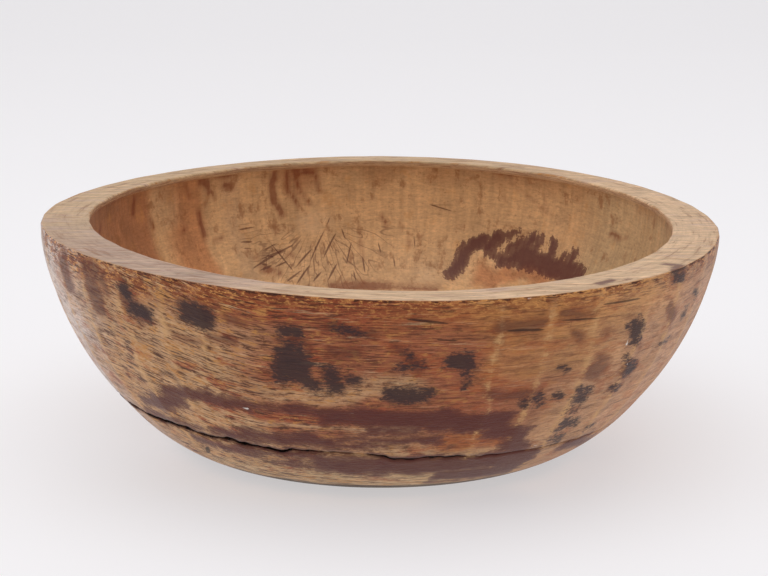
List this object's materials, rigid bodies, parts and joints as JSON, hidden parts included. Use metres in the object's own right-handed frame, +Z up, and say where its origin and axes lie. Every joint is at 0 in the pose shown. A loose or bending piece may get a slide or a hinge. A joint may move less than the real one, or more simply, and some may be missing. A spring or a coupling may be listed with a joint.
{
  "type": "bowl",
  "caption": "Deep round bowl carved from one block of timber, with a hewn outside, a smooth hollow, a broad flat rim, a flat foot and a drying split low in the wall.",
  "frame": {"origin": "under the middle of the bowl, on the surface that its foot rests on", "axes": "+Z up out of the hollow, +X along the grain of the wood towards the lower side of the rim, -Y towards the side with the split"},
  "size_m": [0.4, 0.39, 0.1373],
  "materials": {
    "carved_wood": "satin"
  },
  "bodies": {
    "root": {"bowl": "carved_wood"}
  },
  "joints": []
}
